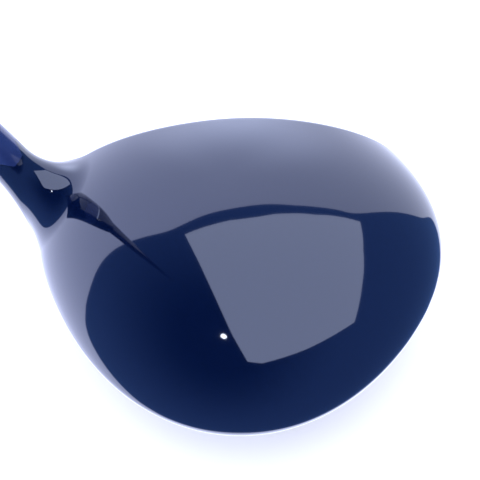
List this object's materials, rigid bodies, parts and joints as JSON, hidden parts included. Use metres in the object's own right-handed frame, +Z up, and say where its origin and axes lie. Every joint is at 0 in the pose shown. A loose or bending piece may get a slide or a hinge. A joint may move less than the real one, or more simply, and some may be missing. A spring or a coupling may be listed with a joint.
{
  "type": "golf driver",
  "caption": "Adjustable golf driver: hollow head with a lacquered crown and face plate, keyed hosel adaptor, tapered graphite shaft, rubber grip, screwed-in sole weights.",
  "frame": {"origin": "where the shaft's axis meets the ground in the address pose", "axes": "+Z up, face towards -Y, toe towards -X, heel towards +X; the shaft rises towards +X at the 61 degree lie angle"},
  "size_m": [0.6728, 0.1054, 1.0163],
  "materials": {
    "navy_lacquer": "deep navy base coat under a gloss clear lacquer",
    "cast_titanium": "cast titanium, painted dark on the skirt and brushed on the sole",
    "forged_titanium": "forged titanium, blasted and brushed",
    "painted_panel": "moulded carbon panel, clear coated",
    "tungsten_steel": "turned and bead-blasted",
    "gasket_rubber": "moulded rubber",
    "screw_steel": "black-oxide steel",
    "anodised_aluminium": "blue-grey anodised",
    "polished_steel": "polished",
    "ferrule_plastic": "turned and acetone-wiped cellulose",
    "graphite_shaft": "painted and clear-coated graphite",
    "brass_plug": "turned",
    "paper_tape": "crepe masking tape",
    "grip_rubber": "moulded rubber with a fine pattern",
    "cap_rubber": "moulded rubber"
  },
  "bodies": {
    "club": {"shaft_sleeve": "anodised_aluminium", "ferrule_ring": "polished_steel", "ferrule": "ferrule_plastic", "shaft": "graphite_shaft", "tip_weight": "brass_plug", "grip_tape": "paper_tape", "grip": "grip_rubber", "grip_cap": "cap_rubber"},
    "head": {"head_body": "cast_titanium", "crown_shell": "navy_lacquer", "face_insert": "forged_titanium", "sole_panel": "painted_panel"},
    "screw_carrier": {"screw_washer": "screw_steel", "screw_retainer": "gasket_rubber"},
    "hosel_screw": {"hosel_screw": "screw_steel"},
    "rear_weight": {"rear_weight": "tungsten_steel", "rear_weight_gasket": "gasket_rubber"},
    "rear_screw": {"rear_weight_screw": "screw_steel"},
    "front_weight": {"front_weight": "tungsten_steel", "front_weight_gasket": "gasket_rubber"},
    "front_screw": {"front_weight_screw": "screw_steel"}
  },
  "joints": [
    {"name": "head_release", "type": "slide", "parent": "club", "child": "head", "axis": [-0.4848, 0, -0.8746], "range_m": [0, 0.045]},
    {"name": "hosel_screw_out", "type": "slide", "parent": "head", "child": "screw_carrier", "axis": [-0.4848, 0, -0.8746], "range_m": [0, 0.012]},
    {"name": "hosel_screw_turn", "type": "hinge", "parent": "screw_carrier", "child": "hosel_screw", "pos_m": [0.01091, 0, 0.01968], "axis": [-0.4848, 0, -0.8746], "range_deg": [-1, 5401]},
    {"name": "rear_weight_out", "type": "slide", "parent": "head", "child": "rear_weight", "axis": [0.0223, 0.3089, -0.9508], "range_m": [0, 0.014]},
    {"name": "rear_screw_turn", "type": "hinge", "parent": "rear_weight", "child": "rear_screw", "pos_m": [-0.036, 0.062, 0.00599], "axis": [0.0223, 0.3089, -0.9508], "range_deg": [-1, 6301]},
    {"name": "front_weight_out", "type": "slide", "parent": "head", "child": "front_weight", "axis": [0.0045, -0.0961, -0.9954], "range_m": [0, 0.013]},
    {"name": "front_screw_turn", "type": "hinge", "parent": "front_weight", "child": "front_screw", "pos_m": [-0.036, 0.004, 0.00064], "axis": [0.0045, -0.0961, -0.9954], "range_deg": [-1, 5851]}
  ],
  "couplings": [
    {"joint": "hosel_screw_turn", "follows": "hosel_screw_out", "rad_per_m": 7854},
    {"joint": "rear_screw_turn", "follows": "rear_weight_out", "rad_per_m": 7854},
    {"joint": "front_screw_turn", "follows": "front_weight_out", "rad_per_m": 7854}
  ]
}
